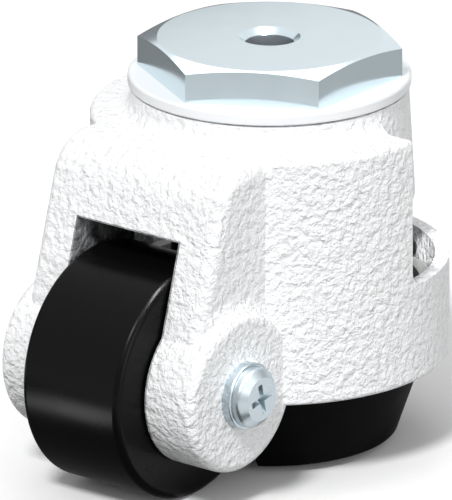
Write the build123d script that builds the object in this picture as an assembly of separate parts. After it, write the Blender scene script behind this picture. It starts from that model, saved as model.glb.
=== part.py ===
from build123d import *
import os
from math import asin, cos, degrees, pi, radians, sin, sqrt, tan

os.makedirs("parts", exist_ok=True)

# Levelling castor. Millimetres, +Z up.
# The origin is the centre of the hexagon's top face, on the swivel axis.
# The wheel is on the -Y side, with its axle along X.

# ---------------------------------------------------------------- head (fixed to the machine)
hex_flats = 48.0            # across flats
hex_height = 7.5
hex_top_inset = 0.7         # the top chamfer starts this far inside the flats
hex_chamfer_angle = 17.0    # degrees from level
mount_hole_radius = 5.1     # tapping size of M12
mount_hole_depth = 20.0
mount_mouth_bevel = 1.3     # countersink of the tapped hole
drill_point_height = 3.0

cap_overhang = 0.5          # white dust cap under the hexagon, past the neck
cap_height = 2.45
cap_edge_round = 0.6
cap_gap = 0.4               # daylight between the cap and the neck
cap_lip_height = 0.8        # thin lip that snaps into a groove under the hexagon
cap_lip_inset = 0.5         # the groove lies this far inside the flats

# ---------------------------------------------------------------- swivel bearing
ball_radius = 2.5
race_play = 0.05            # round each ball
race_groove_depth = 0.85
upper_pitch_radius = 21.48
lower_pitch_gap = 3.7       # from the kingpin's side to the middle of the lower balls
shoulder_gap = 0.5          # round the turned shoulder that the cap sits on
shoulder_height = 3.5
upper_race_thickness = 2.0
web_thickness = 3.2
lower_seat_thickness = 1.8
lower_washer_thickness = 2.0
race_width = 8.0            # of the upper race ring
lower_race_width = 6.0
kingpin_radius = 10.0
kingpin_step = 1.0          # down to the kingpin's thread
kingpin_end = 0.4           # thread past the nut
kingpin_nut_wall = 4.5      # from the thread to the flats
kingpin_nut_height = 5.0
kingpin_nut_bevel = 30.0    # degrees
kingpin_nut_room = 1.6      # round the nut's corners
lower_race_room = 0.5       # round the lower races
bush_wall = 2.0
running_play = 0.05         # radial play of pins in bushes and bores
seat_play = 0.02            # radial play of rings in their seats
loose_play = 0.4            # where a ring is only passed through

# ---------------------------------------------------------------- housing
neck_wall = 3.4
neck_height = 4.85
neck_root_round = 3.0
fillet_share = 0.9          # of a narrow ledge that a round may take
barrel_flare = 1.5          # the barrel widens by this from the neck to its lower edge
barrel_edge_round = 3.0
body_rim_radius = 37.6
body_draft = 0.4            # radius lost up to the drum's top
body_edge_round = 1.2
rim_edge_round = 1.0
skirt_wall = 3.1            # at the rim
skirt_height = 21.1         # of the rear skirt, under the finger window
window_front = 0.55         # the rear window is cut behind this plane
window_corner_round = 3.0
rim_to_floor = 18.65

fork_wall = 9.4             # each side of the wheel well
fork_front_top = -41.9      # where the sloping front would meet the top
fork_front_angle = 16.3     # degrees from upright
fork_nose_round = 10.0
fork_edge_round = 2.5
fork_root = -20.0           # the fork block reaches this far back inside the body
wheel_side_gap = 0.5        # between the wheel and each wall of its well
well_back_round = 3.0
well_rise = 6.2             # the well's roof over the plate
cavity_front = -22.0        # flat front wall of the space for the foot
well_wall = 4.0             # between the wheel well and the bearing
boss_radius = 16.8
boss_proud = 2.9            # outer faces of the axle bosses, past the fork's sides
boss_edge_round = 2.0
boss_flare_round = 4.0      # hollow round where the fork swells out to the boss
boss_flare_bevel = 45.0     # degrees, where the swelling ends towards the front

# ---------------------------------------------------------------- wheel and axle
wheel_radius = 25.0
wheel_width = 25.6
wheel_edge_round = 1.5
wheel_hub_inset = 0.8       # the hub's faces lie this far inside the tyre's
wheel_rear = 15.55          # from the swivel axis to the wheel's rear
wheel_headroom = 6.6        # over the wheel, under the well's roof
wheel_hub_wall = 2.4
wheel_web_recess = 3.5      # depth of the moulded recess between hub and tyre
wheel_web_slope = 1.0       # of the recess's walls
wheel_tyre_inner = 15.8     # inside the bosses' outline, so that the face beside them is plain
axle_radius = 5.0
wheel_bush_wall = 3.0
axle_end_gap = 0.3          # the axle ends this far inside the boss faces
axle_end_chamfer = 0.4
tap_run_out = 1.0           # tapped hole beyond the screw's end
spacer_radius = 9.0
spacer_play = 0.1
washer_proud = 0.6          # of the washer round the screw's head
washer_thickness = 2.1
washer_bore_gap = 0.2
washer_edge_round = 0.4
washer_room = 1.0           # spot face round each washer, where the drum would reach it
screw_head_radius = 6.4
screw_head_shoulder = 1.8   # from the head's side to its flat face
screw_head_height = 2.9
screw_head_round = 1.1
screw_head_draft = 0.15     # the head's wall leans in by this, up to half its height
screw_radius = 3.0
screw_length = 12.0
recess_width = 1.3          # of the cross recess
recess_radius = 3.3
recess_depth = 2.2
recess_turn = 12.0          # degrees

# ---------------------------------------------------------------- height adjuster
adjuster_back = 8.1         # the spindle stands this far behind the swivel axis, to clear the wheel
plate_thickness = 3.6
plate_lap = 7.2             # of the plate round the bearing's chamber
plate_gap = 0.4             # between the kingpin's end and the plate
plate_screw_inset = 4.0     # from the plate's edge
plate_screw_angles = (-90.0, -8.5, 188.5)
plate_screw_radius = 2.0
plate_screw_head_radius = 3.9
plate_screw_length = 9.0
plate_screw_gap = 0.25      # of the clearance holes
plate_socket_flats = 2.5
plate_socket_depth = 1.4
collar_wall = 3.2
collar_height = 8.6
nut_flange_width = 3.4
nut_flange_height = 2.8
nut_play = 0.1
nut_neck_wall = 2.55
nut_hex_inset = 0.6         # the flats lie this far inside the neck
nut_end_wall = 1.55
nut_clip_gap = 1.2          # between the nut's end and the spindle's retaining ring
thrust_washer_thickness = 1.2
thrust_washer_play = 0.2    # inside the collar
thrust_washer_bore_gap = 0.6
clip_thickness = 1.2
clip_width = 2.9
clip_opening = 7.0
clip_groove_depth = 1.2
clip_seat_gap = 0.1         # between a retaining ring and its groove's floor
clip_play = 0.03            # of a retaining ring in its groove, above and below
spindle_radius = 8.0        # M16 x 2, left plain here
spindle_top_gap = 1.0
spindle_tip_chamfer = 1.0
spindle_clip_depth = 0.8
thumb_top_gap = 1.2         # under the collar
thumb_thickness = 4.8
thumb_lobe_pitch = 11.2     # as many lobes as this leaves room for
thumb_lobe_radius = 4.2
thumb_lobe_proud = 3.6
thumb_edge_round = 2.2
thumb_wheel_gap = 1.5       # from the rim to the castor wheel
thumb_skirt_gap = 0.7       # from the rim to the skirt's inside
thumb_phase = 8.9           # degrees, to the first lobe

# ---------------------------------------------------------------- foot
foot_to_floor = 1.55        # foot raised all the way
foot_travel = 12.0
foot_base_radius = 26.7
foot_taper = 0.34           # radius gained for each millimetre of height
foot_edge_round = 0.9
foot_top_below_rim = 0.4
guide_play = 0.4            # of the foot in the skirt
guide_wall = 2.6
guide_engagement = 3.0      # left in the skirt when the foot is right down
carrier_floor = 7.4         # thickness over the rubber
carrier_boss_wall = 5.0
carrier_boss_height = 6.4
carrier_deck = 2.0          # thickness of the flange over the rubber
pad_wall = 3.9              # rubber round the carrier, at its underside
notch_side_gap = 2.0        # the foot straddles the wheel
notch_wheel_gap = 2.5
notch_skin = 2.4            # rubber over the carrier in the notch
boss_relief_gap = 1.2
spindle_head_lap = 4.0      # of the head's flats past the spindle
spindle_head_height = 4.0

# ---------------------------------------------------------------- levels and places
hex_flat_top_radius = hex_flats / 2 - hex_top_inset
mount_mouth_radius = mount_hole_radius + mount_mouth_bevel
cap_top = -hex_height
cap_bottom = cap_top - cap_height
neck_top = cap_bottom - cap_gap
body_top = neck_top - neck_height

groove_radius = ball_radius + race_play
shoulder_bottom = cap_top - shoulder_height
upper_ball_z = shoulder_bottom + race_groove_depth - groove_radius
upper_race_top = upper_ball_z - groove_radius + race_groove_depth
cup_floor = upper_race_top - upper_race_thickness
web_bottom = cup_floor - web_thickness
lower_seat_bottom = web_bottom - lower_seat_thickness
lower_ball_z = lower_seat_bottom + race_groove_depth - groove_radius
lower_washer_top = lower_ball_z - groove_radius + race_groove_depth
nut_top = lower_washer_top - lower_washer_thickness
kingpin_nut_bottom = nut_top - kingpin_nut_height
kingpin_bottom = kingpin_nut_bottom - kingpin_end
plate_top = kingpin_bottom - plate_gap
plate_bottom = plate_top - plate_thickness
cup_radius = upper_pitch_radius + race_width / 2 + seat_play
shoulder_radius = cup_radius - shoulder_gap
cap_groove_radius = hex_flats / 2 - cap_lip_inset
cap_lip_bottom = cap_top - cap_lip_height
neck_radius = cup_radius + neck_wall
cap_radius = neck_radius + cap_overhang
barrel_radius = neck_radius + barrel_flare
body_top_radius = body_rim_radius - body_draft
lower_pitch_radius = kingpin_radius + lower_pitch_gap
lower_race_radius = lower_pitch_radius + lower_race_width / 2
kingpin_thread_radius = kingpin_radius - kingpin_step
kingpin_nut_flats = 2 * (kingpin_thread_radius + kingpin_nut_wall)
nut_chamber_radius = kingpin_nut_flats / sqrt(3) + kingpin_nut_room
chamber_radius = max(nut_chamber_radius, lower_race_radius + lower_race_room)
plate_radius = chamber_radius + plate_lap
plate_screw_ring = plate_radius - plate_screw_inset
bush_outer = kingpin_radius + running_play + bush_wall

# The barrel hides the bearing, and its underside is level with the plate.
ceiling = plate_bottom
well_roof = ceiling + well_rise
axle_z = well_roof - wheel_headroom - wheel_radius
axle_y = -(wheel_rear + wheel_radius)
floor_z = axle_z - wheel_radius
rim_z = floor_z + rim_to_floor
sill_z = rim_z + skirt_height
cavity_radius = body_rim_radius - skirt_wall

well_half_width = wheel_width / 2 + wheel_side_gap
fork_half_width = well_half_width + fork_wall
boss_face = fork_half_width + boss_proud
wheel_hub_width = wheel_width - 2 * wheel_hub_inset
wheel_bore = axle_radius + running_play + wheel_bush_wall + seat_play
wheel_hub_radius = wheel_bore + wheel_hub_wall
washer_radius = screw_head_radius + washer_proud
screw_face_radius = screw_head_radius - screw_head_shoulder

nut_bore = spindle_radius + running_play
nut_neck_radius = nut_bore + nut_neck_wall
nut_hex_flats = 2 * (nut_neck_radius - nut_hex_inset)
nut_end_radius = nut_bore + nut_end_wall
nut_flange_radius = nut_neck_radius + nut_flange_width
washer_bottom = plate_bottom - thrust_washer_thickness
flange_top = washer_bottom - nut_play
flange_bottom = flange_top - nut_flange_height
clip_top = flange_bottom - nut_play
clip_bottom = clip_top - clip_thickness
collar_bottom = plate_bottom - collar_height
collar_bore = nut_flange_radius + running_play
thumb_top = collar_bottom - thumb_top_gap
thumb_bottom = thumb_top - thumb_thickness
thumb_middle = (thumb_top + thumb_bottom) / 2
thumb_reach = sqrt((wheel_radius + thumb_wheel_gap) ** 2 - (thumb_middle - axle_z) ** 2)
thumb_room_front = adjuster_back - (axle_y + thumb_reach)
thumb_room_rear = cavity_radius - thumb_skirt_gap - adjuster_back
thumb_radius = min(thumb_room_front, thumb_room_rear)
thumb_lobe_ring = thumb_radius - thumb_lobe_radius
thumb_lobes = int(2 * pi * thumb_lobe_ring / thumb_lobe_pitch)

foot_bottom = floor_z + foot_to_floor
pad_top = rim_z - foot_top_below_rim
pad_top_radius = foot_base_radius + foot_taper * (pad_top - foot_bottom)
guide_top = pad_top + foot_travel + guide_engagement
guide_radius = cavity_radius - guide_play
carrier_bottom = pad_top - carrier_floor
carrier_boss_top = pad_top + carrier_boss_height
carrier_boss_radius = spindle_radius + carrier_boss_wall
pad_low_radius = foot_base_radius + foot_taper * (carrier_bottom - foot_bottom)
carrier_spigot_radius = pad_low_radius - pad_wall
spindle_clip_top = carrier_boss_top + clip_thickness + 2 * clip_play
nut_bottom = spindle_clip_top + nut_clip_gap
spindle_top = plate_bottom - spindle_top_gap
spindle_head_bottom = carrier_bottom
spindle_head_top = spindle_head_bottom + spindle_head_height
spindle_head_flats = 2 * (spindle_radius + spindle_head_lap)
notch_half_width = wheel_width / 2 + notch_side_gap
notch_back = -wheel_rear + notch_wheel_gap

on_adjuster = Pos(0, adjuster_back, 0)
on_axle = Pos(0, axle_y, axle_z) * Rot(0, 90, 0)
bottom_up = (Align.CENTER, Align.CENTER, Align.MIN)
beyond = 200.0              # reaches past the whole part
slack = 1.0                 # cutters stand this far proud of what they cut


# ---------------------------------------------------------------- small makers
def rod(radius, top, bottom):
    """Upright cylinder between two levels."""
    return Pos(0, 0, bottom) * Cylinder(radius, top - bottom, align=bottom_up)


def ring(outer, inner, top, bottom):
    """Upright tube between two levels."""
    return rod(outer, top, bottom) - rod(inner, top, bottom)


def hexagon(flats, top, bottom, turn=30.0):
    """Upright hexagonal prism between two levels."""
    outline = Rot(0, 0, turn) * RegularPolygon(flats / sqrt(3), 6)
    return Pos(0, 0, bottom) * extrude(outline, top - bottom)


def turned(points):
    """Solid turned about the swivel axis from (radius, height) points."""
    return revolve(Plane.XZ * make_face(Polyline(*points, close=True)), Axis.Z)


def ball_groove(pitch_radius, level):
    return Pos(0, 0, level) * Torus(pitch_radius, groove_radius)


def ball_row(pitch_radius, level):
    """As many balls as the ring holds, evenly spaced."""
    room = degrees(2 * asin((ball_radius + race_play) / pitch_radius))
    count = int(360 / room)
    spots = PolarLocations(pitch_radius, count)
    return Compound(children=[Pos(0, 0, level) * spot * Sphere(ball_radius) for spot in spots])


def clip(outer, inner, top, opening):
    """Retaining ring with its opening to the rear."""
    body = ring(outer, inner, top, top - clip_thickness)
    gap = Pos(0, outer, top - clip_thickness / 2) * Box(opening, outer, 2 * clip_thickness)
    return body - gap


# ---------------------------------------------------------------- head and bearing
def make_swivel_head():
    """Hexagon, shoulder and kingpin, turned and milled from one bar."""
    corner = hex_flats / sqrt(3) + slack
    drop = (corner - hex_flat_top_radius) * tan(radians(hex_chamfer_angle))
    blank = turned([(0, 0), (hex_flat_top_radius, 0), (corner, -drop), (corner, cap_top), (0, cap_top)])
    head = hexagon(hex_flats, 0, cap_top) & blank
    head += rod(cap_groove_radius, cap_top, cap_lip_bottom)
    head += rod(shoulder_radius, cap_lip_bottom, shoulder_bottom)
    head -= ball_groove(upper_pitch_radius, upper_ball_z)
    head += rod(kingpin_radius, shoulder_bottom, lower_washer_top)
    head += rod(kingpin_thread_radius, lower_washer_top, kingpin_bottom)
    mouth = mount_mouth_radius - mount_hole_radius
    hole_end = -mount_hole_depth - drill_point_height
    hole = [(0, 0), (mount_mouth_radius, 0), (mount_hole_radius, -mouth)]
    hole += [(mount_hole_radius, -mount_hole_depth), (0, hole_end)]
    return head - turned(hole)


def make_dust_cap():
    cap = ring(cap_radius, cap_groove_radius + seat_play, cap_top, cap_bottom)
    cap -= rod(shoulder_radius + seat_play, cap_lip_bottom, cap_bottom - slack)
    rim = cap.edges().filter_by(GeomType.CIRCLE).sort_by(SortBy.RADIUS)[-2:]
    return fillet(rim, cap_edge_round)


def make_upper_race():
    outer = cup_radius - seat_play
    body = ring(outer, outer - race_width, upper_race_top, cup_floor)
    return body - ball_groove(upper_pitch_radius, upper_ball_z)


def make_lower_seat():
    body = ring(lower_race_radius, kingpin_radius + loose_play, web_bottom, lower_seat_bottom)
    return body - ball_groove(lower_pitch_radius, lower_ball_z)


def make_lower_race():
    bore = kingpin_thread_radius + seat_play
    body = ring(lower_race_radius, bore, lower_washer_top, nut_top)
    return body - ball_groove(lower_pitch_radius, lower_ball_z)


def make_kingpin_nut():
    corner = kingpin_nut_flats / sqrt(3)
    land = kingpin_nut_flats / 2
    drop = (corner + slack - land) * tan(radians(kingpin_nut_bevel))
    low = kingpin_nut_bottom
    outer = corner + slack
    bevel = turned([(0, nut_top), (outer, nut_top), (outer, low + drop), (land, low), (0, low)])
    nut = hexagon(kingpin_nut_flats, nut_top, low) & bevel
    return nut - rod(kingpin_thread_radius + seat_play, nut_top, low)


def make_kingpin_bush():
    return ring(bush_outer, kingpin_radius + running_play, cup_floor, web_bottom)


# ---------------------------------------------------------------- housing
def make_fork_block():
    """Sloping, round-nosed block that carries the wheel."""
    block = extrude(fork_outline(), fork_half_width, both=True)
    # The part of the slope that runs past the bosses is cut back to their round.
    kink = boss_kink_z()
    low = Pos(0, axle_y - beyond / 2, (axle_z + kink) / 2) * Box(beyond, beyond, kink - axle_z)
    block -= low - on_axle * rod(boss_radius, fork_half_width, -fork_half_width)
    sides = [e for e in block.edges() if is_fork_corner(e)]
    return fillet(sides, fork_edge_round)


def boss_kink_z():
    """Level where the sloping front runs into the round of the boss."""
    slope = tan(radians(fork_front_angle))
    run = fork_front_top - slope * (body_top - axle_z) - axle_y
    a = 1 + slope * slope
    b = 2 * run * slope
    c = run * run - boss_radius ** 2
    return axle_z + (-b + sqrt(b * b - 4 * a * c)) / (2 * a)


def is_fork_corner(edge):
    """The long side edges of the block's top, nose and front."""
    spot = edge @ 0.5
    at_side = abs(abs(spot.X) - fork_half_width) < 0.01
    return at_side and spot.Z > boss_kink_z() and spot.Y < fork_root - 0.01


def fork_outline():
    """Side outline of the block: flat top, round nose, sloping front."""
    slope = tan(radians(fork_front_angle))
    foot_y = fork_front_top - slope * (body_top - axle_z)
    corner = [(fork_root, body_top), (fork_front_top, body_top), (foot_y, axle_z), (fork_root, axle_z)]
    outline = Plane.YZ * make_face(Polyline(*corner, close=True))
    nose = outline.vertices().sort_by(Axis.Z)[-2:].sort_by(Axis.Y)[0]
    return fillet(nose, fork_nose_round)


def flare_profile():
    """Hollow curve from the fork's side to the round of the boss's edge, tangent to both."""
    inner = boss_radius - boss_edge_round
    centres = boss_flare_round + boss_edge_round
    rise = fork_half_width + boss_flare_round - (boss_face - boss_edge_round)
    reach = sqrt(centres ** 2 - rise ** 2)
    lean = asin(reach / centres)
    start = (inner + reach, fork_half_width)
    top = fork_half_width + boss_flare_round
    middle = (start[0] - boss_flare_round * sin(lean / 2), top - boss_flare_round * cos(lean / 2))
    end = (start[0] - boss_flare_round * sin(lean), top - boss_flare_round * cos(lean))
    return start, middle, end


def make_flare():
    """The fork's sides swell out to meet the bosses; the swelling bevels off towards the front."""
    start, middle, end = flare_profile()
    low = fork_half_width - slack
    rest = Polyline(end, (0, end[1]), (0, low), (start[0], low), start)
    outline = Plane.XZ * make_face(Wire([*ThreePointArc(start, middle, end).edges(), *rest.edges()]))
    swelling = Pos(0, axle_y, axle_z) * Rot(0, 90, 0) * revolve(outline, Axis.Z)
    side = Pos(low, 0, 0) * offset(fork_outline(), -fork_edge_round + slack)
    right = swelling & extrude(side, boss_face - fork_half_width + slack, taper=boss_flare_bevel)
    return right + mirror(right, about=Plane.YZ)


def make_boss(side):
    outer = rod(boss_radius, boss_face, well_half_width)
    rim = outer.edges().filter_by(GeomType.CIRCLE).sort_by(Axis.Z)[-1]
    outer = fillet(rim, boss_edge_round)
    turn = Rot(0, 0, 0) if side > 0 else Rot(0, 0, 180)
    return Pos(0, axle_y, axle_z) * turn * Rot(0, 90, 0) * outer


def make_barrel():
    """Neck and round upper part, which widens downwards."""
    points = [(0, neck_top), (neck_radius, neck_top), (barrel_radius, ceiling), (0, ceiling)]
    outline = Plane.XZ * make_face(Polyline(*points, close=True))
    low = outline.vertices().sort_by(Axis.Z)[:2].sort_by(Axis.X)[-1]
    outline = fillet(low, barrel_edge_round)
    return revolve(outline, Axis.Z)


def make_round_body():
    """Drum with a flat top about the neck, and a slight draft."""
    run = (neck_radius - barrel_radius) / (neck_top - ceiling)
    root = neck_radius + run * (body_top - neck_top)
    points = [(0, neck_top), (neck_radius, neck_top), (root, body_top)]
    points += [(body_top_radius, body_top), (body_rim_radius, rim_z), (0, rim_z)]
    outline = Plane.XZ * make_face(Polyline(*points, close=True))
    spots = outline.vertices()
    root_spot = spots.sort_by_distance((root, 0, body_top))[0]
    ledge = body_top_radius - root - body_edge_round
    outline = fillet(root_spot, min(neck_root_round, fillet_share * ledge))
    edge_spot = outline.vertices().sort_by_distance((body_top_radius, 0, body_top))[0]
    outline = fillet(edge_spot, body_edge_round)
    rim_spot = outline.vertices().sort_by_distance((body_rim_radius, 0, rim_z))[0]
    outline = fillet(rim_spot, rim_edge_round)
    return revolve(outline, Axis.Z)


def make_rear_cut():
    """Everything behind the window plane and above the sill."""
    high = neck_top + slack
    far = 2 * body_rim_radius
    points = [(window_front, high), (window_front, sill_z), (far, sill_z), (far, high)]
    outline = Plane.YZ * make_face(Polyline(*points, close=True))
    corner = outline.vertices().sort_by_distance((0, window_front, sill_z))[0]
    outline = fillet(corner, window_corner_round)
    return extrude(outline, far, both=True)


def make_wheel_well():
    low = floor_z - slack
    front = axle_y - 2 * wheel_radius
    back = -(plate_radius + well_wall)
    inside = cavity_front + slack
    points = [(front, low), (front, well_roof), (back, well_roof), (back, ceiling - slack)]
    points += [(inside, ceiling - slack), (inside, low)]
    outline = Plane.YZ * make_face(Polyline(*points, close=True))
    corner = outline.vertices().sort_by_distance((0, back, well_roof))[0]
    outline = fillet(corner, well_back_round)
    return extrude(outline, well_half_width, both=True)


def make_foot_cavity():
    """Round space for the foot and the thumbwheel, flat in front."""
    space = rod(cavity_radius, ceiling, rim_z - slack)
    keep = Pos(0, cavity_front + beyond / 2, (ceiling + rim_z) / 2) * Box(beyond, beyond, beyond)
    return space & keep


def make_housing():
    """One casting: drum, fork, bosses, bearing cup and skirt."""
    body = make_round_body() - (make_rear_cut() - make_barrel())
    body += make_barrel()
    body += make_fork_block()
    body += make_flare()
    body += make_boss(1)
    body += make_boss(-1)
    for side in (1, -1):
        body -= place_on_side(rod(washer_radius + washer_room, beyond, boss_face), side)
    body -= make_foot_cavity()
    body -= make_wheel_well()
    body -= rod(cup_radius, neck_top + slack, cup_floor)
    body -= rod(bush_outer + seat_play, cup_floor, web_bottom)
    body -= rod(chamber_radius, web_bottom, plate_top)
    body -= rod(plate_radius + seat_play, plate_top, plate_bottom - slack)
    body -= on_axle * rod(axle_radius + seat_play, boss_face + slack, -boss_face - slack)
    for angle in plate_screw_angles:
        spot = Rot(0, 0, angle) * Pos(plate_screw_ring, 0, 0)
        body -= spot * rod(plate_screw_radius + seat_play, plate_top + plate_screw_length, plate_top)
    return body


# ---------------------------------------------------------------- wheel and axle
def make_wheel():
    """Moulded wheel, its faces recessed between hub and tyre."""
    half = wheel_width / 2
    hub = wheel_hub_width / 2
    web = half - wheel_web_recess
    near = [(wheel_bore, hub), (wheel_hub_radius, hub), (wheel_hub_radius + wheel_web_slope, web)]
    near += [(wheel_tyre_inner - wheel_web_slope, web), (wheel_tyre_inner, half), (wheel_radius, half)]
    far = [(radius, -side) for radius, side in reversed(near)]
    blank = turned(near + far)
    rims = [e for e in blank.edges().filter_by(GeomType.CIRCLE) if abs(e.radius - wheel_radius) < 0.001]
    return on_axle * fillet(rims, wheel_edge_round)


def make_wheel_bush():
    half = wheel_hub_width / 2
    inner = axle_radius + running_play
    return on_axle * ring(inner + wheel_bush_wall, inner, half, -half)


def make_axle():
    end = boss_face - axle_end_gap
    pin = rod(axle_radius, end, -end)
    depth = screw_length + tap_run_out
    for mouth in (end, -end + depth):
        pin -= rod(screw_radius + seat_play, mouth, mouth - depth)
    pin = chamfer(pin.edges().filter_by(GeomType.CIRCLE).sort_by(SortBy.RADIUS)[-2:], axle_end_chamfer)
    return on_axle * pin


def place_on_side(body, side):
    """Built for the +X side; the other side is the same piece turned round."""
    turn = Rot(0, 0, 0) if side > 0 else Rot(0, 0, 180)
    return Pos(0, axle_y, axle_z) * turn * Rot(0, 90, 0) * body


def make_spacer(side):
    inner = wheel_hub_width / 2 + spacer_play
    body = ring(spacer_radius, axle_radius + seat_play, well_half_width - spacer_play, inner)
    return place_on_side(body, side)


def make_axle_washer(side):
    body = ring(washer_radius, screw_radius + washer_bore_gap, boss_face + washer_thickness, boss_face)
    rim = body.edges().filter_by(GeomType.CIRCLE).sort_by(Axis.Z)[-2:].sort_by(SortBy.RADIUS)[-1]
    return place_on_side(fillet(rim, washer_edge_round), side)


def make_axle_screw(side):
    """Pan head with a cross recess."""
    seat = boss_face + washer_thickness
    top = seat + screw_head_height
    shoulder = seat + 0.5 * screw_head_height
    round_radius = screw_head_radius - screw_head_draft
    points = [(0, seat), (screw_head_radius, seat), (round_radius, shoulder)]
    points += [(screw_face_radius, top), (0, top)]
    outline = Plane.XZ * make_face(Polyline(*points, close=True))
    corner = outline.vertices().sort_by_distance((round_radius, 0, shoulder))[0]
    outline = fillet(corner, screw_head_round)
    body = revolve(outline, Axis.Z)
    end = boss_face - axle_end_gap - screw_length
    body += rod(screw_radius, seat, end)
    slot = Pos(0, 0, top) * Box(2 * recess_radius, recess_width, 2 * recess_depth)
    cross = slot + Rot(0, 0, 90) * slot
    tip = recess_width / 2
    taper = [(0, top + slack), (recess_radius, top + slack), (recess_radius, top)]
    taper += [(tip, top - recess_depth), (0, top - recess_depth)]
    body -= Rot(0, 0, recess_turn) * (cross & turned(taper))
    return place_on_side(body, side)


# ---------------------------------------------------------------- height adjuster
def make_adjuster_plate():
    """Closes the bearing and carries the adjusting nut in its collar."""
    body = rod(plate_radius, plate_top, plate_bottom)
    body += on_adjuster * rod(collar_bore + collar_wall, plate_bottom, collar_bottom)
    body -= on_adjuster * rod(collar_bore, plate_bottom, collar_bottom)
    groove = collar_bore + clip_groove_depth
    body -= on_adjuster * rod(groove, clip_top + clip_play, clip_bottom - clip_play)
    for angle in plate_screw_angles:
        spot = Rot(0, 0, angle) * Pos(plate_screw_ring, 0, 0)
        body -= spot * rod(plate_screw_radius + plate_screw_gap, plate_top, plate_bottom)
        body -= spot * screw_cone(seat_play)
    return body


def screw_cone(grow):
    """Countersunk head, flush with the plate's underside."""
    head = plate_screw_head_radius + grow
    shank = plate_screw_radius
    return turned([(0, plate_bottom), (head, plate_bottom), (shank, plate_bottom + head - shank),
                   (0, plate_bottom + head - shank)])


def make_plate_screws():
    socket = hexagon(plate_socket_flats, plate_bottom + plate_socket_depth, plate_bottom)
    tip = plate_top + plate_screw_length - tap_run_out
    one = screw_cone(0) + rod(plate_screw_radius, tip, plate_bottom + plate_socket_depth)
    one += rod(plate_screw_radius, plate_bottom + plate_socket_depth, plate_bottom)
    one -= socket
    spots = [Rot(0, 0, angle) * Pos(plate_screw_ring, 0, 0) for angle in plate_screw_angles]
    return Compound(children=[spot * one for spot in spots])


def make_thrust_washer():
    outer = collar_bore - thrust_washer_play
    inner = spindle_radius + thrust_washer_bore_gap
    return on_adjuster * ring(outer, inner, plate_bottom, washer_bottom)


def make_adjuster_clip():
    outer = collar_bore + clip_groove_depth - clip_seat_gap
    return on_adjuster * clip(outer, outer - clip_width, clip_top, clip_opening)


def make_adjuster_nut():
    """Flanged steel nut: a flange in the collar, a hexagon for the thumbwheel, a plain end."""
    body = rod(nut_flange_radius, flange_top, flange_bottom)
    body += rod(nut_neck_radius, flange_bottom, thumb_top)
    body += hexagon(nut_hex_flats, thumb_top, thumb_bottom) & rod(nut_neck_radius, thumb_top, thumb_bottom)
    end = rod(nut_end_radius, thumb_bottom, nut_bottom)
    end -= thumb_clip_groove()
    body += end
    body -= rod(nut_bore, flange_top, nut_bottom)
    return on_adjuster * body


def thumb_clip_bore():
    return nut_end_radius - clip_groove_depth


def thumb_clip_groove():
    """In the nut's plain end, right under the thumbwheel."""
    depth = clip_thickness + 2 * clip_play
    return ring(nut_end_radius + slack, thumb_clip_bore(), thumb_bottom, thumb_bottom - depth)


def make_thumbwheel():
    """Lobed finger wheel on the nut's hexagon."""
    outline = Circle(thumb_radius - thumb_lobe_proud)
    for spot in PolarLocations(thumb_lobe_ring, thumb_lobes, start_angle=thumb_phase):
        outline += spot * Circle(thumb_lobe_radius)
    blank = Pos(0, 0, thumb_bottom) * extrude(outline, thumb_thickness)
    rims = [e for e in blank.edges() if abs((e @ 0).Z - (e @ 1).Z) < 0.001]
    blank = fillet(rims, thumb_edge_round)
    hole = hexagon(nut_hex_flats + 2 * seat_play, thumb_top, thumb_bottom)
    hole &= rod(nut_neck_radius + seat_play, thumb_top, thumb_bottom)
    return on_adjuster * (blank - hole)


def make_thumb_clip():
    inner = thumb_clip_bore() + seat_play
    return on_adjuster * clip(inner + clip_width, inner, thumb_bottom - clip_play, clip_opening)


# ---------------------------------------------------------------- foot
def notch(half_width, back, top, bottom):
    """Space for the wheel, open to the front."""
    return Pos(0, back - beyond / 2, (top + bottom) / 2) * Box(2 * half_width, beyond, top - bottom)


def boss_relief(gap):
    """Keeps the foot clear of the axle bosses."""
    return on_axle * rod(boss_radius + gap, boss_face + slack, -boss_face - slack)


def foot_front(grow, top, bottom):
    """Everything in front of the cavity's flat front wall."""
    face = cavity_front + grow
    return Pos(0, face - beyond / 2, (top + bottom) / 2) * Box(beyond, beyond, top - bottom)


def make_spindle():
    """Threaded spindle, with a hexagonal head in the carrier's underside."""
    body = rod(spindle_radius, spindle_top, spindle_head_top)
    body = chamfer(body.edges().filter_by(GeomType.CIRCLE).sort_by(Axis.Z)[-1], spindle_tip_chamfer)
    body += hexagon(spindle_head_flats, spindle_head_top, spindle_head_bottom)
    body -= ring(spindle_radius + slack, spindle_clip_bore(), spindle_clip_top, carrier_boss_top)
    return on_adjuster * body


def spindle_clip_bore():
    return spindle_radius - spindle_clip_depth


def make_spindle_clip():
    """Keeps the carrier down on the spindle's head."""
    inner = spindle_clip_bore() + seat_play
    return on_adjuster * clip(inner + clip_width, inner, spindle_clip_top - clip_play, clip_opening)


def make_foot_carrier():
    """Moulded plunger that slides in the skirt and holds the rubber foot."""
    body = ring(guide_radius, guide_radius - guide_wall, guide_top, pad_top)
    body -= foot_front(guide_play, guide_top + slack, pad_top)
    deck = rod(guide_radius, pad_top + carrier_deck, pad_top)
    body += deck - foot_front(guide_play, guide_top, pad_top - slack)
    body += rod(carrier_spigot_radius, pad_top, carrier_bottom)
    body += on_adjuster * rod(carrier_boss_radius, carrier_boss_top, pad_top)
    body -= notch(notch_half_width, notch_back, guide_top + slack, pad_top)
    body -= notch(notch_half_width + notch_skin, notch_back + notch_skin, pad_top, carrier_bottom - slack)
    body -= boss_relief(boss_relief_gap + notch_skin)
    body -= on_adjuster * rod(spindle_radius + seat_play, carrier_boss_top, carrier_bottom)
    head = hexagon(spindle_head_flats + 2 * seat_play, spindle_head_top, carrier_bottom)
    return body - on_adjuster * head


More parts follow.
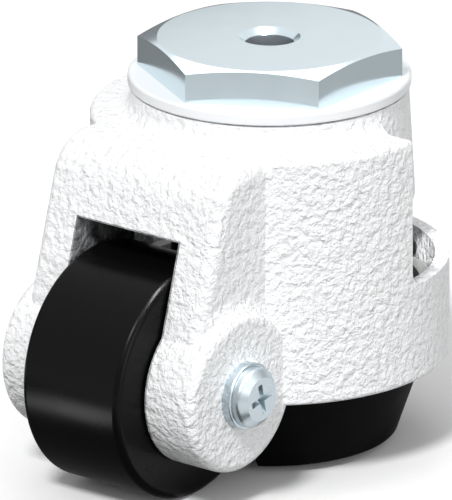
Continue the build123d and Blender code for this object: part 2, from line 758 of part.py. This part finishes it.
def make_foot_pad():
    """Rubber foot moulded round the carrier's underside."""
    points = [(0, pad_top), (pad_top_radius, pad_top), (foot_base_radius, foot_bottom), (0, foot_bottom)]
    outline = Plane.XZ * make_face(Polyline(*points, close=True))
    low = outline.vertices().sort_by_distance((foot_base_radius, 0, foot_bottom))[0]
    outline = fillet(low, foot_edge_round)
    body = revolve(outline, Axis.Z)
    body -= notch(notch_half_width, notch_back, pad_top + slack, foot_bottom - slack)
    body -= boss_relief(boss_relief_gap)
    core = rod(carrier_spigot_radius, pad_top, carrier_bottom)
    inner_back = notch_back + notch_skin
    core -= notch(notch_half_width + notch_skin, inner_back, pad_top + slack, carrier_bottom - slack)
    core -= boss_relief(boss_relief_gap + notch_skin)
    return body - core


# ---------------------------------------------------------------- all pieces
pieces = {
    "swivel_head": make_swivel_head(),
    "dust_cap": make_dust_cap(),
    "upper_race_ring": make_upper_race(),
    "upper_balls": ball_row(upper_pitch_radius, upper_ball_z),
    "kingpin_bush": make_kingpin_bush(),
    "lower_race_seat": make_lower_seat(),
    "lower_balls": ball_row(lower_pitch_radius, lower_ball_z),
    "lower_race_washer": make_lower_race(),
    "kingpin_nut": make_kingpin_nut(),
    "housing": make_housing(),
    "wheel": make_wheel(),
    "wheel_bush": make_wheel_bush(),
    "axle": make_axle(),
    "hub_spacer_right": make_spacer(1),
    "hub_spacer_left": make_spacer(-1),
    "axle_washer_right": make_axle_washer(1),
    "axle_washer_left": make_axle_washer(-1),
    "axle_screw_right": make_axle_screw(1),
    "axle_screw_left": make_axle_screw(-1),
    "adjuster_plate": make_adjuster_plate(),
    "plate_screws": make_plate_screws(),
    "thrust_washer": make_thrust_washer(),
    "adjuster_clip": make_adjuster_clip(),
    "adjuster_nut": make_adjuster_nut(),
    "thumbwheel": make_thumbwheel(),
    "thumbwheel_clip": make_thumb_clip(),
    "spindle": make_spindle(),
    "spindle_clip": make_spindle_clip(),
    "foot_carrier": make_foot_carrier(),
    "foot_pad": make_foot_pad(),
}

for name, solid in pieces.items():
    export_step(solid, f"parts/{name}.step")
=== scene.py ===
import math

import bpy
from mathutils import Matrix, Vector


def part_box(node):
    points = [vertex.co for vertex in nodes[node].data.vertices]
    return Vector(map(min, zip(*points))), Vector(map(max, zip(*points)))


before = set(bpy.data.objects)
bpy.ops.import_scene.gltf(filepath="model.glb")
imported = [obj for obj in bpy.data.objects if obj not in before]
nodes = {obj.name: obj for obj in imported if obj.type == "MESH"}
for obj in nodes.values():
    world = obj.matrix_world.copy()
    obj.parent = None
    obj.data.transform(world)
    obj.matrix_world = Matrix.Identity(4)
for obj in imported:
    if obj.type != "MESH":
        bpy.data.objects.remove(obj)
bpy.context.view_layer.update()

MM = 0.001


# ---------------------------------------------------------------- small makers
def srgb(code):
    """Linear colour of an sRGB hex value."""
    parts = [int(code[i:i + 2], 16) / 255 for i in (1, 3, 5)]
    return [p / 12.92 if p <= 0.04045 else ((p + 0.055) / 1.055) ** 2.4 for p in parts] + [1.0]


def add(tree, kind, inputs=None, **settings):
    """Adds one node with its settings; an input takes a value or another node's output."""
    node = tree.nodes.new(kind)
    for name, value in settings.items():
        setattr(node, name, value)
    for name, value in (inputs or {}).items():
        if isinstance(value, bpy.types.NodeSocket):
            tree.links.new(value, node.inputs[name])
        else:
            node.inputs[name].default_value = value
    return node


def per(size_mm):
    """Texture scale at which one feature is this many millimetres across."""
    return 1 / (size_mm * MM)


def new_material(name):
    """Material with its tree, and the place in the row frame that its patterns use."""
    material = bpy.data.materials.new(name)
    material.use_nodes = True
    tree = material.node_tree
    tree.nodes.clear()
    place = add(tree, "ShaderNodeTexCoord").outputs["Object"]
    return material, tree, place


# ---------------------------------------------------------------- camera and studio
def look_from(azimuth, elevation):
    """Unit vectors back to the camera, to its right and up."""
    a, e = math.radians(azimuth), math.radians(elevation)
    back = Vector((math.sin(a) * math.cos(e), -math.cos(a) * math.cos(e), math.sin(e)))
    right = Vector((math.cos(a), math.sin(a), 0))
    return back, right, back.cross(right)


CAMERA_AZIMUTH, CAMERA_ELEVATION = 38.868, 18.952
CAMERA_DISTANCE = 2.648
FOCAL_LENGTH = 917.6
AIM_LEFT, AIM_DOWN = 9.01 * MM, 1.64 * MM
MIDDLE = Vector((0, 0, -45 * MM))

back, right, up = look_from(CAMERA_AZIMUTH, CAMERA_ELEVATION)
aim = MIDDLE - right * AIM_LEFT - up * AIM_DOWN
lens = bpy.data.cameras.new("camera")
lens.sensor_width = 36
lens.lens = FOCAL_LENGTH
lens.clip_start, lens.clip_end = 0.1, 50
camera = bpy.data.objects.new("camera", lens)
camera.location = aim + back * CAMERA_DISTANCE
camera.rotation_euler = (-back).to_track_quat("-Z", "Y").to_euler()
bpy.context.scene.collection.objects.link(camera)
bpy.context.scene.camera = camera


def lamp(name, direction, distance, size, power):
    """Square soft lamp aimed at the castor's middle."""
    data = bpy.data.lights.new(name, "AREA")
    data.size = size
    data.energy = power
    thing = bpy.data.objects.new(name, data)
    thing.location = MIDDLE + direction.normalized() * distance
    thing.rotation_euler = (-direction).to_track_quat("-Z", "Y").to_euler()
    bpy.context.scene.collection.objects.link(thing)


def sun(name, direction, level, angle):
    """Even light from far away; level is how bright it makes a white card that faces it."""
    data = bpy.data.lights.new(name, "SUN")
    data.energy = level * math.pi
    data.angle = math.radians(angle)
    thing = bpy.data.objects.new(name, data)
    thing.rotation_euler = (-direction).to_track_quat("-Z", "Y").to_euler()
    bpy.context.scene.collection.objects.link(thing)


def card(name, place, width, height, level, facing=None):
    """Plain card that only mirror rays see. It faces the castor's middle, or facing.

    Grey and dark ones keep steel and nylon from reading as white, bright ones draw the light
    lines on the black wheel. Its level is how bright it is, where 1 is white.
    """
    mesh = bpy.data.meshes.new(name)
    x, y = width / 2, height / 2
    corners = [(-x, -y, 0), (x, -y, 0), (x, y, 0), (-x, y, 0)]
    mesh.from_pydata(corners, [], [(0, 1, 2, 3)])
    thing = bpy.data.objects.new(name, mesh)
    thing.location = place
    thing.rotation_euler = (facing or place - MIDDLE).to_track_quat("Z", "Y").to_euler()
    bpy.context.scene.collection.objects.link(thing)
    material, tree, _ = new_material(name)
    glow = add(tree, "ShaderNodeEmission", {"Color": srgb("#FFFFFF"), "Strength": level})
    add(tree, "ShaderNodeOutputMaterial", {"Surface": glow.outputs[0]})
    mesh.materials.append(material)
    thing.visible_camera = False
    thing.visible_diffuse = False
    thing.visible_shadow = False


def spot(name, target, azimuth, elevation, distance, power, cone):
    """Narrow snooted lamp on one place, with a pinhole for a mouth so that its pool stays small."""
    data = bpy.data.lights.new(name, "SPOT")
    data.energy = power
    data.spot_size = math.radians(cone)
    data.spot_blend = 0.6
    data.shadow_soft_size = 0.6 * MM
    thing = bpy.data.objects.new(name, data)
    direction = look_from(azimuth, elevation)[0]
    thing.location = target + direction * distance
    thing.rotation_euler = (-direction).to_track_quat("-Z", "Y").to_euler()
    bpy.context.scene.collection.objects.link(thing)


sun("key", Vector((0.2, -0.6, 0.77)), 0.64, 12)
lamp("top", Vector((-0.42, 0.48, 0.77)), 1.3, 0.6, 1.6)
lamp("front", back, 1.5, 0.5, 1.1)
lamp("side", Vector((0.97, -0.15, 0.2)), 1.4, 0.6, 4.0)
# lights only the hollow behind the rear window
spot("hollow", Vector((21.1, 28.5, -49.5)) * MM, 38.9, 19, 0.3, 7.5, 1.6)
card("grey_card_left", Vector((-196, 34, -13)) * MM, 0.5, 0.16, 0.26)
card("grey_card_right", Vector((128, 154, -13)) * MM, 0.3, 0.16, 0.5)
card("grey_card_front", Vector((90, -232, -32)) * MM, 0.4, 0.12, 0.6)
card("bright_strip", Vector((140, -25, 435)) * MM, 0.08, 0.35, 95)
card("dark_foot", Vector((-30, -100, -86.4)) * MM, 0.16, 0.11, 0.15, facing=Vector((0, 0, 1)))
card("bright_foot", Vector((-30, -102, -86.2)) * MM, 0.03, 0.026, 7, facing=Vector((0, 0, 1)))


def seen_rays(tree):
    """1 for camera, mirror and glass rays, 0 for the rays that only carry light."""
    ray = add(tree, "ShaderNodeLightPath").outputs
    seen = add(tree, "ShaderNodeMath", {0: ray["Is Camera Ray"], 1: ray["Is Glossy Ray"]}, operation="ADD")
    return add(tree, "ShaderNodeMath", {0: seen.outputs[0], 1: ray["Is Transmission Ray"]},
               operation="ADD", use_clamp=True).outputs[0]


world = bpy.data.worlds.new("studio")
bpy.context.scene.world = world
world.use_nodes = True
sky = world.node_tree
sky.nodes.clear()
seen = seen_rays(sky)
plain = add(sky, "ShaderNodeBackground", {"Color": srgb("#FFFFFF"), "Strength": 0.5})
white = add(sky, "ShaderNodeBackground", {"Color": srgb("#FFFFFF"), "Strength": 1.0})
both = add(sky, "ShaderNodeMixShader", {0: seen, 1: plain.outputs[0], 2: white.outputs[0]})
add(sky, "ShaderNodeOutputWorld", {"Surface": both.outputs[0]})

bpy.context.scene.view_settings.view_transform = "Standard"


def make_floor():
    """Pale matt floor under the wheel: white to look at, mid grey in the light that it throws back."""
    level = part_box("wheel")[0].z
    half = 6.0  # metres, well past the frame
    mesh = bpy.data.meshes.new("floor")
    corners = [(-half, -half, level), (half, -half, level), (half, half, level), (-half, half, level)]
    mesh.from_pydata(corners, [], [(0, 1, 2, 3)])
    floor = bpy.data.objects.new("floor", mesh)
    bpy.context.scene.collection.objects.link(floor)
    material, tree, _ = new_material("pale_matte_floor")
    shade = add(tree, "ShaderNodeMix", {0: seen_rays(tree), 6: srgb("#8C8C8C"), 7: srgb("#FFFFFF")},
                data_type="RGBA").outputs[2]
    shader = add(tree, "ShaderNodeBsdfPrincipled", {"Base Color": shade, "Roughness": 0.9,
                                                    "Specular IOR Level": 0.1})
    add(tree, "ShaderNodeOutputMaterial", {"Surface": shader.outputs[0]})
    mesh.materials.append(material)


make_floor()


# ---------------------------------------------------------------- finishes
def powder_coated_casting(name):
    """White powder coat, sprayed on and baked over a sand-rough aluminium casting.

    To the eye: matt white with a crumpled relief of flat patches, mostly 1 to 2 mm across, that
    catch the light one by one. Inside the deep wheel well the white is swapped for painted shade:
    a mottled grey that grows darker the further back it goes.
    """
    material, tree, place = new_material(name)
    crumple = add(tree, "ShaderNodeTexNoise", {"Vector": place, "Scale": per(1.6), "Detail": 3.0,
                                               "Roughness": 0.55, "Distortion": 0.2}).outputs["Fac"]
    relief = add(tree, "ShaderNodeBump", {"Height": crumple, "Distance": 1.25 * MM}).outputs["Normal"]

    gap_beside_wheel, gap_over_wheel, well_back_wall = 0.9 * MM, 6.9 * MM, 3.6 * MM
    well_depth = 26 * MM
    well_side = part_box("wheel")[1].x + gap_beside_wheel
    well_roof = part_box("wheel")[1].z + gap_over_wheel
    well_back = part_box("adjuster_plate")[0].y - well_back_wall
    at = add(tree, "ShaderNodeSeparateXYZ", {"Vector": place}).outputs
    aside = add(tree, "ShaderNodeMath", {0: at["X"]}, operation="ABSOLUTE").outputs[0]
    between_sides = add(tree, "ShaderNodeMath", {0: aside, 1: well_side}, operation="LESS_THAN").outputs[0]
    under_roof = add(tree, "ShaderNodeMath", {0: at["Z"], 1: well_roof}, operation="LESS_THAN").outputs[0]
    before_back = add(tree, "ShaderNodeMath", {0: at["Y"], 1: well_back}, operation="LESS_THAN").outputs[0]
    in_slot = add(tree, "ShaderNodeMath", {0: between_sides, 1: under_roof}, operation="MULTIPLY").outputs[0]
    in_well = add(tree, "ShaderNodeMath", {0: in_slot, 1: before_back}, operation="MULTIPLY").outputs[0]

    # painted shade: inside the wheel well the white turns to a mottled grey, darker towards the well's back
    patches = add(tree, "ShaderNodeTexNoise", {"Vector": place, "Scale": per(3.5),
                                               "Detail": 3.0}).outputs["Fac"]
    depth = add(tree, "ShaderNodeMapRange", {
        "Value": at["Y"], "From Min": well_back - well_depth, "From Max": well_back,
        "To Min": -0.2, "To Max": 0.35}).outputs[0]
    well_shade_raw = add(tree, "ShaderNodeMath", {0: depth, 1: patches}, operation="ADD").outputs[0]
    well_shade_amount = add(tree, "ShaderNodeMapRange", {"Value": well_shade_raw, "From Min": 0.2, "From Max": 0.8}).outputs[0]
    painted_well_shade = add(tree, "ShaderNodeMix", {0: well_shade_amount, 6: srgb("#B4B6B8"), 7: srgb("#2C2D2E")},
                    data_type="RGBA").outputs[2]
    coat = add(tree, "ShaderNodeMix", {0: in_well, 6: srgb("#F8F9FA"), 7: painted_well_shade},
               data_type="RGBA").outputs[2]
    shader = add(tree, "ShaderNodeBsdfPrincipled", {"Base Color": coat, "Roughness": 0.5,
                                                    "Specular IOR Level": 0.4, "Normal": relief})
    add(tree, "ShaderNodeOutputMaterial", {"Surface": shader.outputs[0]})
    return material


def machined_metal(name, code, roughness, bore=0.0):
    """Turned or pressed metal with an even sheen, in faint cloudy patches 6 mm across.

    Its turning marks are far too fine to show, so they are left as that sheen. Inside a bore of
    that radius in mm, below its chamfer, the tap leaves it duller and greyer, and it is also darkened
    there as painted shade of the hole.
    """
    material, tree, place = new_material(name)
    cloud = add(tree, "ShaderNodeTexNoise", {"Vector": place, "Scale": per(6.0),
                                             "Detail": 0.0}).outputs["Fac"]
    rough = add(tree, "ShaderNodeMapRange", {"Value": cloud, "To Min": roughness * 0.85,
                                             "To Max": roughness * 1.15}).outputs[0]
    colour = srgb(code)
    if bore:
        across = add(tree, "ShaderNodeVectorMath", {0: place, 1: (1, 1, 0)}, operation="MULTIPLY").outputs[0]
        reach = add(tree, "ShaderNodeVectorMath", {0: across}, operation="LENGTH").outputs["Value"]
        level = add(tree, "ShaderNodeSeparateXYZ", {"Vector": place}).outputs["Z"]
        inside = add(tree, "ShaderNodeMath", {0: reach, 1: bore * MM}, operation="LESS_THAN").outputs[0]
        chamfer = 1.3 * MM
        below = add(tree, "ShaderNodeMath", {0: level, 1: -chamfer}, operation="LESS_THAN").outputs[0]
        tapped = add(tree, "ShaderNodeMath", {0: inside, 1: below}, operation="MULTIPLY").outputs[0]
        rough = add(tree, "ShaderNodeMath", {0: tapped, 1: 0.25, 2: rough},
                    operation="MULTIPLY_ADD").outputs[0]
        # painted shade in part: inside the tapped bore the plate colour is swapped for a darker grey
        colour = add(tree, "ShaderNodeMix", {0: tapped, 6: srgb(code), 7: srgb("#A6ABAF")},
                     data_type="RGBA").outputs[2]
    shader = add(tree, "ShaderNodeBsdfPrincipled", {"Base Color": colour, "Metallic": 1.0,
                                                    "Roughness": rough})
    add(tree, "ShaderNodeOutputMaterial", {"Surface": shader.outputs[0]})
    return material


def moulded_polymer(name, code, roughness, grain=0.5, depth=0.01, level=0.5):
    """Moulded plastic or rubber. The bite of its mould is about 0.1 mm across and too fine to show,
    so it is drawn at the coarser grain given, in mm, with a very shallow depth in mm.
    """
    material, tree, place = new_material(name)
    bite = add(tree, "ShaderNodeTexNoise", {"Vector": place, "Scale": per(grain),
                                            "Detail": 2.0}).outputs["Fac"]
    relief = add(tree, "ShaderNodeBump", {"Height": bite, "Distance": depth * MM}).outputs["Normal"]
    cloud = add(tree, "ShaderNodeTexNoise", {"Vector": place, "Scale": per(9.0),
                                             "Detail": 2.0}).outputs["Fac"]
    rough = add(tree, "ShaderNodeMapRange", {
        "Value": cloud, "From Min": 0.3, "From Max": 0.7,
        "To Min": roughness * 0.92, "To Max": roughness * 1.08}).outputs[0]
    shader = add(tree, "ShaderNodeBsdfPrincipled", {"Base Color": srgb(code), "Roughness": rough,
                                                    "Specular IOR Level": level, "Normal": relief})
    add(tree, "ShaderNodeOutputMaterial", {"Surface": shader.outputs[0]})
    return material


# powder coat on a casting: matt crumpled white, with painted shade inside the wheel well
white_coat = powder_coated_casting("powder_coated_casting")
# moulded ABS: a smooth, slightly shiny white ring that looks calm beside the coat
white_cap = moulded_polymer("white_abs_moulding", "#EEF0F2", 0.35)
# turned hexagon, clear zinc plate: pale cool metal that mirrors softly; its tapped bore is duller, and
# darker partly as painted shade
zinc_tapped = machined_metal("zinc_plated_head", "#D6E4EA", 0.16, bore=6.6)
# the same plate on the bearing's nut and on the adjuster's nut and plate
zinc = machined_metal("zinc_plated_steel", "#D6E4EA", 0.16)
# barrel-plated small screws and washers: greyer, and duller from tumbling on each other
zinc_bright = machined_metal("zinc_plated_fastener", "#B8C3C9", 0.28)
# hardened and ground: neutral grey with crisp reflections
bright_steel = machined_metal("ground_bearing_steel", "#C4C6C8", 0.15)
# oil-blackened spring clips: nearly black, satin
dark_steel = machined_metal("blackened_spring_steel", "#3A3C3E", 0.4)
# sintered bush: warm brown metal, satin from its pores
bronze = machined_metal("bearing_bronze", "#B98A52", 0.35)
# wheel, cast and then turned: deep black that draws light as long soft bands
nylon_black = moulded_polymer("black_cast_nylon", "#090909", 0.28, 0.8, 0.004, 0.09)
# glass-filled moulding: a shade lighter and duller, from the fibres at its skin
nylon_dark = moulded_polymer("glass_filled_nylon", "#161717", 0.5, level=0.2)
# unpigmented nylon spacers: waxy cream
nylon_natural = moulded_polymer("natural_nylon", "#E3DFD2", 0.45)
# vulcanised rubber foot: the darkest piece, dead matt
rubber = moulded_polymer("black_rubber", "#030303", 0.6, 0.6, 0.02, 0.04)
# moulded acetal: clean warm white with a soft waxy sheen
acetal = moulded_polymer("white_acetal", "#F2F1EE", 0.4)

finishes = {
    "swivel_head": zinc_tapped, "dust_cap": white_cap, "upper_race_ring": bright_steel,
    "upper_balls": bright_steel, "kingpin_bush": bronze, "lower_race_seat": bright_steel,
    "lower_balls": bright_steel,
    "lower_race_washer": bright_steel, "kingpin_nut": zinc, "housing": white_coat, "wheel": nylon_black,
    "wheel_bush": bronze, "axle": bright_steel, "hub_spacer_right": nylon_natural,
    "hub_spacer_left": nylon_natural, "axle_washer_right": zinc_bright, "axle_washer_left": zinc_bright,
    "axle_screw_right": zinc_bright, "axle_screw_left": zinc_bright, "adjuster_plate": zinc,
    "plate_screws": zinc_bright, "thrust_washer": bronze, "adjuster_clip": dark_steel, "adjuster_nut": zinc,
    "thumbwheel": nylon_dark, "thumbwheel_clip": dark_steel, "spindle": bright_steel,
    "spindle_clip": dark_steel, "foot_carrier": acetal, "foot_pad": rubber,
}
for name, material in finishes.items():
    holder = nodes[name].material_slots[0]
    holder.link = "OBJECT"
    holder.material = material


# ---------------------------------------------------------------- threads cut into the plain solids
def thread_cutter(name, base, crest, pitch, top, bottom, steps=40):
    """Helical cutter for an inside thread, in mm: wide at its base radius, narrow at its crest radius.

    It takes this many steps a turn, and is never shown.
    """
    wide, narrow = 0.46 * pitch, 0.07 * pitch
    turns = (top - bottom) / pitch
    count = int(turns * steps)
    points, faces = [], []
    for i in range(count + 1):
        angle = 2 * math.pi * i / steps
        level = bottom + pitch * i / steps
        for radius, shift in ((base, -wide), (crest, -narrow), (crest, narrow), (base, wide)):
            points.append(Vector((radius * math.cos(angle), radius * math.sin(angle), level + shift)) * MM)
        if i:
            a, b = 4 * (i - 1), 4 * i
            faces += [(a + k, a + (k + 1) % 4, b + (k + 1) % 4, b + k) for k in range(4)]
    faces += [(0, 3, 2, 1), tuple(4 * count + k for k in range(4))]
    mesh = bpy.data.meshes.new(name)
    mesh.from_pydata(points, [], faces)
    mesh.update()
    cutter = bpy.data.objects.new(name, mesh)
    bpy.context.scene.collection.objects.link(cutter)
    cutter.hide_render = True
    cutter.hide_viewport = True
    return cutter


def cut(node, cutter):
    """Cuts the shape out of a CAD node by modifiers, and keeps the cut's edges crisp."""
    modifier = nodes[node].modifiers.new(cutter.name, "BOOLEAN")
    modifier.operation = "DIFFERENCE"
    modifier.solver = "EXACT"
    modifier.object = cutter
    split = nodes[node].modifiers.new("crisp_edges", "EDGE_SPLIT")
    split.split_angle = math.radians(12)


m12 = thread_cutter("m12_thread", base=4.8, crest=6.0, pitch=1.75, top=-4.2, bottom=-19.0)
cut("swivel_head", m12)
